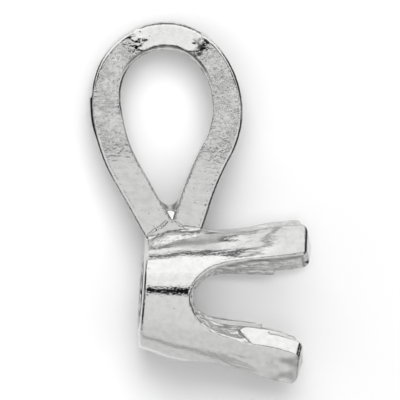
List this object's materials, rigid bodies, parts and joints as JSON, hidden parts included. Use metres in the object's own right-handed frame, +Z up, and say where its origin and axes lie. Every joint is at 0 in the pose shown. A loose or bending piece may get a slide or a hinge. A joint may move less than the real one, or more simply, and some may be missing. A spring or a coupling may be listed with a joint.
{
  "type": "four-prong pendant setting",
  "caption": "Pendant setting for a round stone: a flared cup with prongs at right angles to each other, and a teardrop bail soldered to its side, lying on its back.",
  "frame": {"origin": "on the table under the middle of the laid setting's box", "axes": "+Z up from the table, +Y towards the bail's end, +X towards the prong tips; the cup's axis lies in the XZ plane's direction, 7.6 degrees up from +X"},
  "size_m": [0.0073, 0.011, 0.005],
  "materials": {
    "white_gold": "polished white gold on the cup, with cast mottling on the bail's flat face"
  },
  "bodies": {
    "root": {"pendant_setting": "white_gold"}
  },
  "joints": []
}
